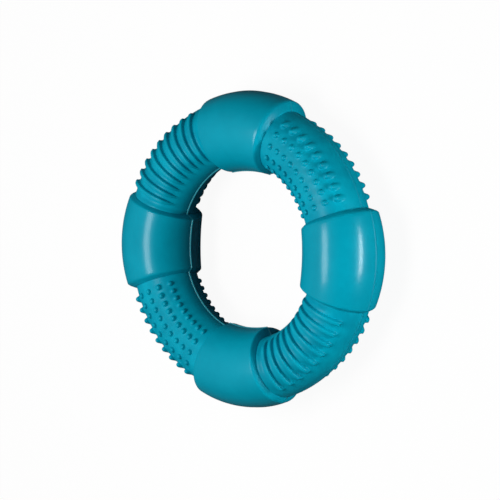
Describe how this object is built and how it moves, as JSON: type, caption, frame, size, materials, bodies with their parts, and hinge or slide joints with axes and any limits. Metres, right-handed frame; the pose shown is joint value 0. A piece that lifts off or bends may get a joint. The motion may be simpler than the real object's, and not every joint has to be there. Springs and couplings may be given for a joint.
{
  "type": "foam dog ring",
  "caption": "Ring-shaped chew and fetch toy with a soft foam core in a moulded rubber skin, smooth barrel bands, and pegged and ribbed grip stretches between them.",
  "frame": {"origin": "centre of the ring in plan, on the plane of the flats on the back bands that it rests on", "axes": "+Z along the ring's axis, up through the front face; +X through the middle of one smooth band and +Y through the next; pegged stretches lie between +X and +Y and opposite"},
  "size_m": [0.1552, 0.1552, 0.0402],
  "materials": {
    "skin": "smooth satin moulded rubber, teal all through",
    "foam": "soft closed-cell foam rubber, matt",
    "seam": "bonded parting line, slightly glossier than the skin"
  },
  "bodies": {
    "root": {"front_skin": "skin", "back_skin": "skin", "foam_core": "foam", "inner_seam_bead": "seam", "outer_seam_bead": "seam"}
  },
  "joints": []
}
